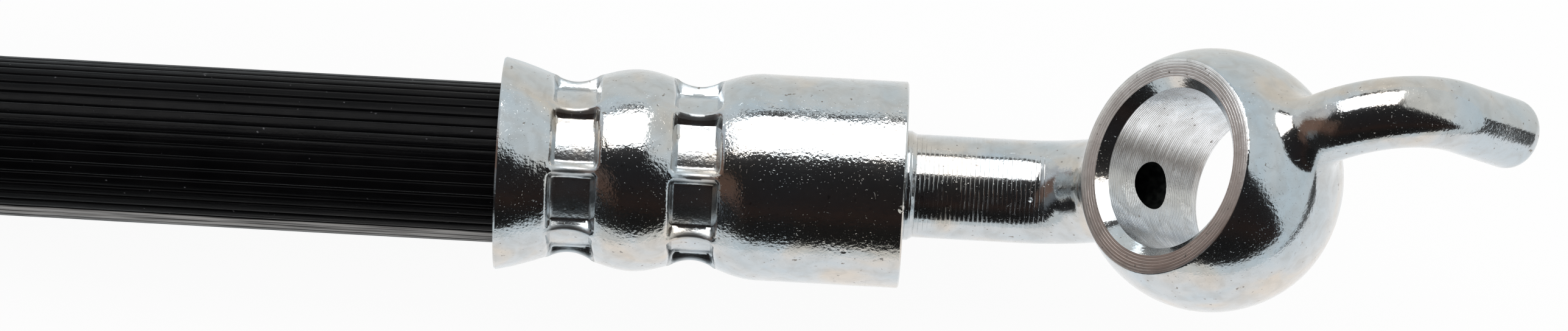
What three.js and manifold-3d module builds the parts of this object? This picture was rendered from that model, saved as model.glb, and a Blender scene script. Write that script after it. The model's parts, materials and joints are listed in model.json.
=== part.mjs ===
// Brake hose for a car: a ribbed rubber hose with a crimped steel ferrule at each end. One end carries a
// banjo fitting with a bent stem and a curved locating tail, the other a plain female end fitting.
// Millimetres, +Z up. The hose lies on the ground plane z = 0 and the first ferrule's axis runs along +X.
import * as THREE from "three";
import { mergeVertices } from "three/addons/utils/BufferGeometryUtils.js";
import Module from "manifold-3d";

const wasm = await Module();
wasm.setup();

// Fits and facets
const CLEARANCE = 0.3; // left between two pieces that seat on each other
const ROUND_SIDES = 48;
const ROD_SIDES = 24;
const BEND_STEPS = 6; // rings round a rod's bend
const PASSAGE_SIDES = 10;

// Hose
const HOSE_DIAMETER = 10.5;
const HOSE_BORE = 3.2;
const HOSE_SIDES = 12;
const HOSE_BORE_SIDES = 8;
const HOSE_STEP = 2 * HOSE_DIAMETER;
const HOSE_ENTRY = 2.2; // full-size hose that sits inside a ferrule's mouth

// Crimped ferrule, drawn from sheet and squeezed by eight jaws in two bands
const FERRULE_LENGTH = 26.6;
const FERRULE_WALL = 1.1;
const FERRULE_END_WALL = 1.5;
const END_EDGE = 0.12; // small bevel of the end face's edge
const PLAIN_SWELL = 0.15; // the uncrimped length is this much larger than the bulge
const SHOULDER_LENGTH = 2.8;
const FLARE_SWELL = 0.37; // the mouth's lip over the bulge
const FLARE_FALL = 1.04; // from the lip down to the flare's foot beside the first band
const FLARE_LENGTH = 3.45;
const LIP_THICKNESS = 0.55;
const WAIST_DROP = 0.5; // the shell beside a crimp band, under the bulge
const BAND_WIDTH = 3.0;
const BAND_CENTRES = [4.95, 12.9];
const POCKET_FLOOR_WIDTH = 2.5;
const POCKET_DEPTH = 1.45; // from the bulge down to a pocket's flat floor
const RIDGE_DROP = 0.98; // from the bulge down to a ridge's crest at mid-band
const JAWS = 8;
const RIDGE_CREST = 7; // width of a ridge's crest, degrees
const RIDGE_FOOT = 14; // width of a ridge's foot, degrees
const FIRST_RIDGE = -2.2; // first ridge from straight up, degrees

// Barbed nipple and flange that both fittings have inside their ferrule
const NIPPLE_STRETCH = 0.2; // the nipple opens the hose's bore by this much all round
const NIPPLE_TIP = 3.2; // from the ferrule's mouth
const NIPPLE_LEAD = 0.6;
const BARB_HEIGHT = 0.25;
const BARB_LENGTH = 1.6;
const BARB_STARTS = [4.6, 8.4, 12.2, 16.0];
const FLANGE_THICKNESS = 2.2;
const PASSAGE_DIAMETER = 2.2;
const NECK_DIAMETER = 6.8;
const COLLAR_HEIGHT = 0.2;
const COLLAR_WIDTH = 0.5;

// Banjo fitting
const NECK_STRAIGHT = 7.4; // from the ferrule's end face to the bend
const STEM_BEND_RADIUS = 7.0;
const STEM_BEND = 45;
const STEM_ROLL = 8.7; // the bend leans this much towards +Y from straight up
const STEM_REACH = 10.27; // from the bend's end to the eye's centre
const EYE_TWIST = 3.0; // the eye is turned this much about the stem
const EYE_DIAMETER = 17.0;
const EYE_WIDTH = 9.4;
const EYE_BORE = 10.5;
const BORE_CHAMFER = 0.6;
const FAR_CHAMFER = 0.15; // on the bore's rim away from the bent stem's inside
const CROSS_HOLE_DIAMETER = 3.1;
const CROSS_HOLE_DEPTH = 9.0; // from the eye's centre
const TAIL_DIAMETER = 4.55;
const TAIL_TURN = 17.0; // from the line of the stem, about the eye's bore
const TAIL_STRAIGHT = 8.5; // from the eye's centre to the tail's bend
const TAIL_BEND_RADIUS = 6.7;
const TAIL_LEG = 5.3;
const TAIL_EDGE = 0.6; // rounded edge of the tail's end

// Female end fitting
const END_NECK = 2.2;
const HEX_ACROSS_FLATS = 14.0;
const HEX_LENGTH = 9.0;
const HEX_CHAMFER = 30; // slope of the corner chamfer, degrees
const SPIGOT_DIAMETER = 12.8;
const BRACKET_LAND = 2.4; // seats in the bracket's hole
const CLIP_GROOVE_DIAMETER = 10.9;
const CLIP_GROOVE_WIDTH = 1.6;
const SPIGOT_END = 3.8;
const SPIGOT_EDGE = 0.4;
const PORT_DIAMETER = 8.9; // minor diameter of the M10 x 1 thread
const PORT_DEPTH = 12.5;
const PORT_CHAMFER = 0.7;
const SEAT_HEIGHT = 2.4;
const SEAT_TIP_DIAMETER = 2.9;
const SEAT_BASE_DIAMETER = 7.4;

// Where the hose's far end lies, from the first ferrule's mouth, and the route between the two mouths.
// Heights in the route are above the ground.
const FAR_MOUTH = [16, 92];
const ROUTE = [
  [2.2, 0, 7.02],
  [-6, 0, 7.0],
  [-13, 0, 6.85],
  [-20, 0, 6.4],
  [-28, 0, 5.75],
  [-36, 0.1, 5.3],
  [-45, 1.1, 5.25],
  [-54, 3.9, 5.25],
  [-62.5, 8.6, 5.25],
  [-70, 15, 5.25],
  [-76, 23.2, 5.25],
  [-80.2, 33, 5.25],
  [-81.9, 43.5, 5.25],
  [-81.2, 54.5, 5.25],
  [-77.8, 64.8, 5.25],
  [-72, 74, 5.25],
  [-64, 81.5, 5.25],
  [-54.5, 87, 5.25],
  [-44, 90.4, 5.25],
  [-33, 91.8, 5.3],
  [-22, 92, 5.6],
  [-12, 92, 6.15],
  [-3, 92, 6.65],
  [6, 92, 6.95],
  [13, 92, 7.02],
  [18.2, 92, 7.02],
];

// Sizes that follow from the ones above
const hoseRadius = HOSE_DIAMETER / 2;
const bulgeRadius = hoseRadius + CLEARANCE + FERRULE_WALL;
const plainRadius = bulgeRadius + PLAIN_SWELL;
const mouthRadius = bulgeRadius + FLARE_SWELL;
const waistRadius = bulgeRadius - WAIST_DROP;
const neckRadius = NECK_DIAMETER / 2;
const nippleRadius = HOSE_BORE / 2 + NIPPLE_STRETCH;
const endWallInside = FERRULE_LENGTH - FERRULE_END_WALL;
const flangeFace = endWallInside - CLEARANCE;
const flangeBack = flangeFace - FLANGE_THICKNESS;
const flangeRadius = plainRadius - FERRULE_WALL - CLEARANCE;
const axisHeight = mouthRadius; // the ferrule lies on the ground on its mouth's lip

const radians = THREE.MathUtils.degToRad;

// A solid of revolution about +X. Its outline is a list of [distance along X, radius].
function turned(outline, sides = ROUND_SIDES) {
  const points = outline.map(([along, radius]) => new THREE.Vector2(radius, along));
  return new THREE.LatheGeometry(points, sides).rotateZ(-Math.PI / 2);
}

function solid(geometry) {
  const bare = geometry.clone();
  bare.deleteAttribute("normal");
  bare.deleteAttribute("uv");
  const merged = mergeVertices(bare, 1e-4);
  return new wasm.Manifold(
    new wasm.Mesh({
      numProp: 3,
      vertProperties: merged.attributes.position.array,
      triVerts: new Uint32Array(merged.index.array),
    }),
  );
}

function geometryOf(made) {
  const { vertProperties, triVerts } = made.getMesh();
  const geometry = new THREE.BufferGeometry();
  geometry.setAttribute("position", new THREE.BufferAttribute(vertProperties, 3));
  geometry.setIndex(new THREE.BufferAttribute(triVerts, 1));
  geometry.computeVertexNormals();
  return geometry;
}

function piece(name, geometry, material) {
  const mesh = new THREE.Mesh(geometry, material);
  mesh.name = name;
  return mesh;
}

// A rod's centreline: straight, round one bend, and straight again. Its stations are one at each end and
// the rest round the bend.
class BentLine extends THREE.Curve {
  constructor(start, heading, towards, first, bendRadius, bend, last) {
    super();
    Object.assign(this, { start, heading, towards, first, bendRadius, bend, last });
    this.bendLength = bendRadius * bend;
    this.whole = first + this.bendLength + last;
    this.stations = BEND_STEPS + 2;
  }

  turnAt(along) {
    return THREE.MathUtils.clamp((along - this.first) / this.bendRadius, 0, this.bend);
  }

  getPoint(t, target = new THREE.Vector3()) {
    const along = t * this.whole;
    const turn = this.turnAt(along);
    const after = Math.max(0, along - this.first - this.bendLength);
    const forward =
      Math.min(along, this.first) + this.bendRadius * Math.sin(turn) + after * Math.cos(turn);
    const sideways = this.bendRadius * (1 - Math.cos(turn)) + after * Math.sin(turn);
    return target
      .copy(this.start)
      .addScaledVector(this.heading, forward)
      .addScaledVector(this.towards, sideways);
  }

  distanceAt(share) {
    const station = share * this.stations;
    const round = THREE.MathUtils.clamp((station - 1) / BEND_STEPS, 0, 1);
    const after = Math.max(0, station - 1 - BEND_STEPS);
    return Math.min(station, 1) * this.first + round * this.bendLength + after * this.last;
  }

  getPointAt(share, target) {
    return this.getPoint(this.distanceAt(share) / this.whole, target);
  }

  getTangentAt(share, target = new THREE.Vector3()) {
    const turn = this.turnAt(this.distanceAt(share));
    return target
      .copy(this.heading)
      .multiplyScalar(Math.cos(turn))
      .addScaledVector(this.towards, Math.sin(turn));
  }
}

function disc(radius, sides) {
  const points = [];
  for (let side = 0; side < sides; side += 1) {
    const angle = (side / sides) * 2 * Math.PI;
    points.push(new THREE.Vector2(radius * Math.cos(angle), radius * Math.sin(angle)));
  }
  return points;
}

function rod(path, radius, sides = ROD_SIDES) {
  return new THREE.ExtrudeGeometry(new THREE.Shape(disc(radius, sides)), {
    extrudePath: path,
    steps: path.stations,
    bevelEnabled: false,
  });
}

// How far the shell is pressed in at a place along it, on a ridge's crest or in a pocket.
function pressedIn(along, angle, onCrest) {
  for (const centre of BAND_CENTRES) {
    const off = Math.abs(along - centre);
    if (off >= BAND_WIDTH / 2) continue;
    const share = off / (BAND_WIDTH / 2);
    if (onCrest) return (RIDGE_DROP - WAIST_DROP) * (1 - share * share);
    if (off > POCKET_FLOOR_WIDTH / 2) continue;
    const flat = (bulgeRadius - POCKET_DEPTH) / Math.cos(angle);
    return waistRadius - flat;
  }
  return 0;
}

// The shell's own outline, before it is crimped, as [along, radius], outside and then inside.
function ferruleOutline() {
  const outside = [
    [0, mouthRadius],
    [FLARE_LENGTH * 0.35, mouthRadius - FLARE_FALL * 0.25],
    [FLARE_LENGTH * 0.65, mouthRadius - FLARE_FALL * 0.58],
    [FLARE_LENGTH, mouthRadius - FLARE_FALL],
  ];
  const inside = [];
  const bandRows = [-BAND_WIDTH / 2, -POCKET_FLOOR_WIDTH / 2, 0, POCKET_FLOOR_WIDTH / 2, BAND_WIDTH / 2];
  const [firstBand, secondBand] = BAND_CENTRES;
  for (const row of bandRows.slice(1)) outside.push([firstBand + row, waistRadius]);
  const bulgeStart = firstBand + BAND_WIDTH / 2;
  const bulgeEnd = secondBand - BAND_WIDTH / 2;
  for (const share of [0.17, 0.5, 0.83]) {
    const rise = Math.sin(share * Math.PI);
    outside.push([bulgeStart + share * (bulgeEnd - bulgeStart), waistRadius + WAIST_DROP * rise]);
  }
  for (const row of bandRows) outside.push([secondBand + row, waistRadius]);
  const shoulderStart = secondBand + BAND_WIDTH / 2;
  for (const share of [0.15, 0.45, 1]) {
    const rise = Math.sin((share * Math.PI) / 2);
    outside.push([
      shoulderStart + share * SHOULDER_LENGTH,
      waistRadius + (plainRadius - waistRadius) * rise,
    ]);
  }
  outside.push([FERRULE_LENGTH - END_EDGE, plainRadius]);
  outside.push([FERRULE_LENGTH, plainRadius - END_EDGE]);

  inside.push([FERRULE_LENGTH, neckRadius + CLEARANCE]);
  inside.push([endWallInside, neckRadius + CLEARANCE]);
  inside.push([endWallInside, plainRadius - FERRULE_WALL]);
  inside.push([shoulderStart + SHOULDER_LENGTH, plainRadius - FERRULE_WALL]);
  for (const row of [...bandRows].reverse()) {
    if (row !== 0) inside.push([secondBand + row, waistRadius - FERRULE_WALL]);
  }
  inside.push([(bulgeStart + bulgeEnd) / 2, bulgeRadius - FERRULE_WALL]);
  for (const row of [...bandRows].reverse()) {
    if (row !== 0) inside.push([firstBand + row, waistRadius - FERRULE_WALL]);
  }
  inside.push([0, mouthRadius - LIP_THICKNESS]);
  return [...outside, ...inside, outside[0]];
}

// The shell is revolved with its columns gathered at the ridges, then pressed in by the jaws.
function ferruleGeometry() {
  const sector = 360 / JAWS;
  const crest = RIDGE_CREST / 2;
  const foot = RIDGE_FOOT / 2;
  const third = (sector - 2 * foot) / 3;
  const columns = [-crest, crest, foot, foot + third, foot + 2 * third, sector - foot];
  const outline = ferruleOutline();
  const shell = new THREE.LatheGeometry(
    outline.map(([along, radius]) => new THREE.Vector2(radius, along)),
    JAWS * columns.length,
  );
  const place = shell.attributes.position;
  for (let column = 0; column <= JAWS * columns.length; column += 1) {
    const turn = Math.floor(column / columns.length) * sector;
    const fromRidge = columns[column % columns.length];
    const onCrest = Math.abs(fromRidge) <= crest;
    const fromPocket = radians(fromRidge - sector / 2);
    const angle = radians(FIRST_RIDGE - turn - fromRidge);
    outline.forEach(([along, radius], row) => {
      const pressed = radius - pressedIn(along, fromPocket, onCrest);
      const across = pressed * Math.sin(angle);
      const height = pressed * Math.cos(angle);
      place.setXYZ(column * outline.length + row, along, across, height);
    });
  }
  return geometryOf(solid(shell));
}

// The squeezed end of the hose inside a ferrule, bored out for the nipple.
function hoseEndSolid() {
  const bore = nippleRadius + BARB_HEIGHT + CLEARANCE;
  const squeezed = bulgeRadius - POCKET_DEPTH - FERRULE_WALL - CLEARANCE;
  const held = waistRadius - FERRULE_WALL - CLEARANCE;
  const [firstBand, secondBand] = BAND_CENTRES;
  const half = BAND_WIDTH / 2;
  const outline = [
    [HOSE_ENTRY - 0.5, bore],
    [HOSE_ENTRY - 0.5, held],
    [firstBand - half, held],
    [firstBand - half, squeezed],
    [firstBand + half, squeezed],
    [firstBand + half, held],
    [(firstBand + secondBand) / 2, hoseRadius],
    [secondBand - half, held],
    [secondBand - half, squeezed],
    [secondBand + half, squeezed],
    [secondBand + half, held],
    [secondBand + half + SHOULDER_LENGTH, hoseRadius],
    [flangeBack - CLEARANCE, hoseRadius],
    [flangeBack - CLEARANCE, bore],
    [HOSE_ENTRY - 0.5, bore],
  ];
  return solid(turned(outline, HOSE_SIDES));
}

function hoseGeometry() {
  const section = new THREE.Shape(disc(hoseRadius, HOSE_SIDES));
  section.holes.push(new THREE.Path(disc(HOSE_BORE / 2, HOSE_BORE_SIDES)));
  const route = new THREE.CatmullRomCurve3(ROUTE.map((point) => new THREE.Vector3(...point)));
  const tube = new THREE.ExtrudeGeometry(section, {
    extrudePath: route,
    steps: Math.round(route.getLength() / HOSE_STEP),
    bevelEnabled: false,
  });
  const [farAlong, farAcross] = FAR_MOUTH;
  const nearEnd = hoseEndSolid().translate([0, 0, axisHeight]);
  const farEnd = hoseEndSolid().translate([farAlong, farAcross, axisHeight]);
  return geometryOf(solid(tube).add(nearEnd).add(farEnd));
}

// The turned outline that both fittings share, from the nipple's tip to the flange's face.
function nippleOutline() {
  const outline = [
    [NIPPLE_TIP, 0],
    [NIPPLE_TIP, nippleRadius - BARB_HEIGHT],
    [NIPPLE_TIP + NIPPLE_LEAD, nippleRadius],
  ];
  for (const start of BARB_STARTS) {
    outline.push([start, nippleRadius]);
    outline.push([start + BARB_LENGTH, nippleRadius + BARB_HEIGHT]);
    outline.push([start + BARB_LENGTH, nippleRadius]);
  }
  outline.push([flangeBack, nippleRadius]);
  outline.push([flangeBack, flangeRadius]);
  outline.push([flangeFace, flangeRadius]);
  return outline;
}

// The eye's directions: out along the stem, along the bore and across.
function eyeFrame() {
  const bend = radians(STEM_BEND);
  const lean = new THREE.Vector3(0, Math.sin(radians(STEM_ROLL)), Math.cos(radians(STEM_ROLL)));
  const ahead = new THREE.Vector3(1, 0, 0);
  const out = ahead.clone().multiplyScalar(Math.cos(bend)).addScaledVector(lean, Math.sin(bend));
  const bore = ahead.clone().multiplyScalar(-Math.sin(bend)).addScaledVector(lean, Math.cos(bend));
  bore.applyAxisAngle(out, radians(-EYE_TWIST));
  const across = bore.clone().cross(out);
  return { ahead, lean, out, bore, across };
}

function banjoGeometry() {
  const { ahead, lean, out, bore, across } = eyeFrame();
  const bend = radians(STEM_BEND);
  const stemStart = new THREE.Vector3(flangeFace - 1, 0, 0);
  const beforeBend = FERRULE_LENGTH + NECK_STRAIGHT - stemStart.x;
  const stemLine = (start, first, last) =>
    new BentLine(start, ahead, lean, first, STEM_BEND_RADIUS, bend, last);
  const eyeCentre = stemLine(stemStart, beforeBend, STEM_REACH).getPoint(1);
  const wallInside = (EYE_BORE / 2 + EYE_DIAMETER / 2) / 2;

  // Stem, with the nipple, flange and collar turned on its straight end
  const collarStart = FERRULE_LENGTH + CLEARANCE;
  const core = neckRadius * 0.85;
  const turnedEnd = turned([
    ...nippleOutline(),
    [flangeFace, core],
    [collarStart, core],
    [collarStart, neckRadius + COLLAR_HEIGHT],
    [collarStart + COLLAR_WIDTH, neckRadius + COLLAR_HEIGHT],
    [collarStart + COLLAR_WIDTH, core],
    [collarStart + 2 * COLLAR_WIDTH, core],
    [collarStart + 2 * COLLAR_WIDTH, 0],
  ], ROD_SIDES);
  const stem = rod(stemLine(stemStart, beforeBend, STEM_REACH - wallInside), neckRadius);

  // Eye: a ball with two flat sealing faces, turned about its bore
  const ballRadius = EYE_DIAMETER / 2;
  const faceAngle = Math.asin(EYE_WIDTH / EYE_DIAMETER);
  const ballOutline = [[-EYE_WIDTH / 2, 0]];
  const arcSteps = 10;
  for (let step = 0; step <= arcSteps; step += 1) {
    const angle = -faceAngle + (2 * faceAngle * step) / arcSteps;
    ballOutline.push([ballRadius * Math.sin(angle), ballRadius * Math.cos(angle)]);
  }
  ballOutline.push([EYE_WIDTH / 2, 0]);
  const boreRadius = EYE_BORE / 2;
  const past = EYE_WIDTH / 2 + 1;
  const boreOutline = [
    [-past, 0],
    [-past, boreRadius + FAR_CHAMFER + 1],
    [FAR_CHAMFER - EYE_WIDTH / 2, boreRadius],
    [EYE_WIDTH / 2 - BORE_CHAMFER, boreRadius],
    [past, boreRadius + BORE_CHAMFER + 1],
    [past, 0],
  ];
  const toEye = new THREE.Matrix4().makeBasis(bore, out, across).setPosition(eyeCentre);
  const ball = solid(turned(ballOutline).applyMatrix4(toEye));
  const throughBore = solid(turned(boreOutline).applyMatrix4(toEye));

  // Locating tail, bent to lie along the bore
  const tailOut = out.clone().applyAxisAngle(bore, radians(TAIL_TURN));
  const tailLine = new BentLine(
    eyeCentre.clone().addScaledVector(tailOut, wallInside),
    tailOut,
    bore.clone().negate(),
    TAIL_STRAIGHT - wallInside,
    TAIL_BEND_RADIUS,
    Math.PI / 2,
    TAIL_LEG,
  );
  const tailEnd = tailLine.getPoint(1);
  const tailRadius = TAIL_DIAMETER / 2;
  const tailTip = turned([
    [-1, 0],
    [-1, tailRadius - 0.05],
    [0, tailRadius - 0.05],
    [TAIL_EDGE * 0.6, tailRadius - TAIL_EDGE * 0.35],
    [TAIL_EDGE, tailRadius - TAIL_EDGE],
    [TAIL_EDGE, 0],
  ], ROD_SIDES);
  const down = bore.clone().negate();
  tailTip.applyMatrix4(
    new THREE.Matrix4().makeBasis(down, tailOut, down.clone().cross(tailOut)).setPosition(tailEnd),
  );
  const tail = rod(tailLine, tailRadius);

  // Fluid passage from the bore to the nipple's tip
  const passageStart = new THREE.Vector3(NIPPLE_TIP - 1, 0, 0);
  const toBend = FERRULE_LENGTH + NECK_STRAIGHT - passageStart.x;
  const passage = rod(stemLine(passageStart, toBend, STEM_REACH), PASSAGE_DIAMETER / 2, PASSAGE_SIDES);
  const crossHole = turned([
    [0, 0],
    [0, CROSS_HOLE_DIAMETER / 2],
    [CROSS_HOLE_DEPTH, CROSS_HOLE_DIAMETER / 2],
    [CROSS_HOLE_DEPTH + CROSS_HOLE_DIAMETER / 4, 0],
  ], ROD_SIDES);
  const back = out.clone().negate();
  const alongStem = new THREE.Matrix4().makeBasis(back, bore, back.clone().cross(bore));
  alongStem.setPosition(eyeCentre);

  const body = solid(turnedEnd).add(solid(stem)).add(ball).add(solid(tail)).add(solid(tailTip));
  return geometryOf(
    body
      .subtract(throughBore)
      .subtract(solid(passage))
      .subtract(solid(crossHole.applyMatrix4(alongStem))),
  );
}

function endFittingGeometry() {
  const hexStart = FERRULE_LENGTH + CLEARANCE + END_NECK;
  const hexEnd = hexStart + HEX_LENGTH;
  const grooveStart = hexEnd + BRACKET_LAND;
  const grooveEnd = grooveStart + CLIP_GROOVE_WIDTH;
  const tip = grooveEnd + SPIGOT_END;
  const spigotRadius = SPIGOT_DIAMETER / 2;
  const grooveRadius = CLIP_GROOVE_DIAMETER / 2;
  const turnedEnd = turned([
    ...nippleOutline(),
    [flangeFace, neckRadius],
    [hexStart + 1, neckRadius],
    [hexStart + 1, 0],
  ], ROD_SIDES);
  const spigot = turned([
    [hexEnd - 1, 0],
    [hexEnd - 1, spigotRadius],
    [grooveStart, spigotRadius],
    [grooveStart, grooveRadius],
    [grooveEnd, grooveRadius],
    [grooveEnd, spigotRadius - SPIGOT_EDGE],
    [grooveEnd + SPIGOT_EDGE, spigotRadius],
    [tip - SPIGOT_EDGE, spigotRadius],
    [tip, spigotRadius - SPIGOT_EDGE],
    [tip, 0],
  ]);

  // Hexagon with one flat down, its corners chamfered at both ends
  const flat = HEX_ACROSS_FLATS / 2;
  const corner = flat / Math.cos(Math.PI / 6);
  const corners = [];
  for (let side = 0; side < 6; side += 1) {
    const angle = (side * Math.PI) / 3;
    corners.push(new THREE.Vector2(corner * Math.cos(angle), corner * Math.sin(angle)));
  }
  const hexagon = new THREE.ExtrudeGeometry(new THREE.Shape(corners), {
    depth: HEX_LENGTH,
    bevelEnabled: false,
  });
  hexagon.rotateX(Math.PI / 2).rotateZ(Math.PI / 2).translate(hexStart, 0, 0);
  const slope = Math.tan(radians(HEX_CHAMFER));
  const cone = (corner - flat) * slope;
  const chamfers = turned([
    [hexStart - 0.01, 0],
    [hexStart - 0.01, flat],
    [hexStart + cone, corner + 0.01],
    [hexEnd - cone, corner + 0.01],
    [hexEnd + 0.01, flat],
    [hexEnd + 0.01, 0],
  ]);

  const portRadius = PORT_DIAMETER / 2;
  const portEnd = tip - PORT_DEPTH;
  const port = turned([
    [portEnd + SEAT_HEIGHT, 0],
    [portEnd + SEAT_HEIGHT, SEAT_TIP_DIAMETER / 2],
    [portEnd, SEAT_BASE_DIAMETER / 2],
    [portEnd, portRadius],
    [tip - PORT_CHAMFER, portRadius],
    [tip + 1, portRadius + PORT_CHAMFER + 1],
    [tip + 1, 0],
  ], ROD_SIDES);
  const passage = turned([
    [NIPPLE_TIP - 1, 0],
    [NIPPLE_TIP - 1, PASSAGE_DIAMETER / 2],
    [portEnd + SEAT_HEIGHT + 1, PASSAGE_DIAMETER / 2],
    [portEnd + SEAT_HEIGHT + 1, 0],
  ], PASSAGE_SIDES);
  return geometryOf(
    solid(turnedEnd)
      .add(solid(hexagon).intersect(solid(chamfers)))
      .add(solid(spigot))
      .subtract(solid(port))
      .subtract(solid(passage)),
  );
}

const rubber = new THREE.MeshStandardMaterial({ color: 0x16161a, roughness: 0.55, metalness: 0 });
const zincPlate = new THREE.MeshStandardMaterial({ color: 0xb9c0c4, roughness: 0.28, metalness: 1 });
const machinedSteel = new THREE.MeshStandardMaterial({ color: 0xa9a8a2, roughness: 0.38, metalness: 1 });

const nearEnd = new THREE.Group();
nearEnd.add(piece("crimp_ferrule", ferruleGeometry(), zincPlate));
nearEnd.add(piece("banjo_fitting", banjoGeometry(), machinedSteel));
nearEnd.position.z = axisHeight;

const farEnd = new THREE.Group();
farEnd.add(piece("far_ferrule", ferruleGeometry(), zincPlate));
farEnd.add(piece("end_fitting", endFittingGeometry(), machinedSteel));
farEnd.position.set(FAR_MOUTH[0], FAR_MOUTH[1], axisHeight);

const brakeHose = new THREE.Group();
brakeHose.add(nearEnd, farEnd, piece("hose", hoseGeometry(), rubber));

// The origin is on the ground, under the middle of the banjo end.
const reach = new THREE.Box3().setFromObject(nearEnd);
const middle = reach.getCenter(new THREE.Vector3());
brakeHose.position.set(-middle.x, -middle.y, -reach.min.z);

export default brakeHose;
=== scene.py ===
import json
import math

import bmesh
import bpy
import numpy as np
from mathutils import Matrix, Vector

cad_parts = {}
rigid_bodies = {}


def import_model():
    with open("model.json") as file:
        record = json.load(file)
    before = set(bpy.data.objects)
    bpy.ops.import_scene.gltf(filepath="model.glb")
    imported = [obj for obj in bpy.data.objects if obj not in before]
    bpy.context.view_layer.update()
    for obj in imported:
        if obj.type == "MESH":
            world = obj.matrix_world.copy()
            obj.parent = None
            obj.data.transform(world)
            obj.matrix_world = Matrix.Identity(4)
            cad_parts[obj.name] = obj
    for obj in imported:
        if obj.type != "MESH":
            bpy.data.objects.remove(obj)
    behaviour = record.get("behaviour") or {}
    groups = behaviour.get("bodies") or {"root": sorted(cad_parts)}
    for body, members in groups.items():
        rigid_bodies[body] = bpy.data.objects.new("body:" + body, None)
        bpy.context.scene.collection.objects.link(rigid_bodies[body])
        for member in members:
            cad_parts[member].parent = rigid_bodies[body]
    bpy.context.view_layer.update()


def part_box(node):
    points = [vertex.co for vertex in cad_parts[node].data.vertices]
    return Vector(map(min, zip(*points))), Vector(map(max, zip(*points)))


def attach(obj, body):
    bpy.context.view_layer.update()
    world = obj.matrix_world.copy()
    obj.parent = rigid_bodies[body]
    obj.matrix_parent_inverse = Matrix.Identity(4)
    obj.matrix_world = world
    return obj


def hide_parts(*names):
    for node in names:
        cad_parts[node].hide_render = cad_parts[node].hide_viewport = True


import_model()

# Camera. The photograph looks straight down on the banjo end through a long lens from about 42 cm, turned
# so that the ferrule falls a little to the right.
LENS = 145.9
SENSOR_WIDTH = 36.0
CAMERA_PLACE = (-0.014750, -0.000561, 0.42502)
CAMERA_ROLL = 3.15

in_scene = bpy.context.scene.collection.objects
camera_data = bpy.data.cameras.new("camera")
camera_data.lens = LENS
camera_data.sensor_width = SENSOR_WIDTH
camera_data.clip_start = 0.01
camera = bpy.data.objects.new("camera", camera_data)
camera.location = CAMERA_PLACE
camera.rotation_euler = (0.0, 0.0, math.radians(CAMERA_ROLL))
in_scene.link(camera)
bpy.context.scene.camera = camera

# Hose. A reinforced rubber brake hose with a black cover, extruded with fine grooves along its length. It
# leaves the first ferrule straight, sinks to the ground and comes back in one wide turn to the second.
MM = 0.001  # sizes are in millimetres, but for the few that say metres
HOSE_DIAMETER = 10.5
HOSE_RIBS = 42
RIB_SIDES = 8  # sides of the section to each rib
GROOVE_DEPTH = 0.17
GROOVE_EDGE_DROP = 0.025
RING_SPACING = 2.0
SQUEEZED_SHARE = 0.93  # the hose's size where the first jaws grip it
HOSE_ENTRY = 4.6  # how far it goes into each ferrule
SHARP_EDGE = math.radians(38.0)
SHEEN_LINE_TURN = math.radians(70.0)  # painted sheen, a light line along the hose, from straight up towards -Y
SHEEN_LINE_LENGTH = 52.0  # from the first ferrule
SHEEN_LINE_SIDES = [(0.978, 0.0), (0.986, 1.0)]  # as a share of the hose's radius
SHEEN_LINE_FADE = [(0.0, 0.0), (0.2, 1.0)]
# Painted sheen: the light grey of the line along the hose, which stands in for the rubber's grazing
# reflection of the floor.
PAINTED_SHEEN_GREY = (0.36, 0.35, 0.34)
RUBBER_BLACK = [(0.3, (0.0009, 0.0009, 0.0013)), (0.75, (0.0027, 0.0025, 0.0029))]
RUBBER_GLOSS = 0.07
RUBBER_ROUGHNESS = [(0.2, 0.30), (0.8, 0.44)]
RUBBER_GRAIN = 0.00001  # in metres
RUBBER_STREAKS = 0.00003  # in metres
STREAK_STRETCH = 0.03
GROOVE_WALL = [(0.982, 1.0), (0.992, 0.0)]  # as a share of the hose's radius
DUST_GREY = (0.07, 0.07, 0.075)
ROUTE = [  # along, across and height from the first mouth's foot
    (2.2, 0, 7.02),
    (-6, 0, 7.0),
    (-13, 0, 6.85),
    (-20, 0, 6.4),
    (-28, 0, 5.75),
    (-36, 0.1, 5.3),
    (-45, 1.1, 5.25),
    (-54, 3.9, 5.25),
    (-62.5, 8.6, 5.25),
    (-70, 15, 5.25),
    (-76, 23.2, 5.25),
    (-80.2, 33, 5.25),
    (-81.9, 43.5, 5.25),
    (-81.2, 54.5, 5.25),
    (-77.8, 64.8, 5.25),
    (-72, 74, 5.25),
    (-64, 81.5, 5.25),
    (-54.5, 87, 5.25),
    (-44, 90.4, 5.25),
    (-33, 91.8, 5.3),
    (-22, 92, 5.6),
    (-12, 92, 6.15),
    (-3, 92, 6.65),
    (6, 92, 6.95),
    (13, 92, 7.02),
    (18.2, 92, 7.02),
]

ferrule_low, ferrule_high = (Vector(corner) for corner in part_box("crimp_ferrule"))
mouth = Vector((ferrule_low.x, (ferrule_low.y + ferrule_high.y) / 2, (ferrule_low.z + ferrule_high.z) / 2))
far_low, far_high = (Vector(corner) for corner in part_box("far_ferrule"))
far_mouth = Vector((far_low.x, (far_low.y + far_high.y) / 2, (far_low.z + far_high.z) / 2))


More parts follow.
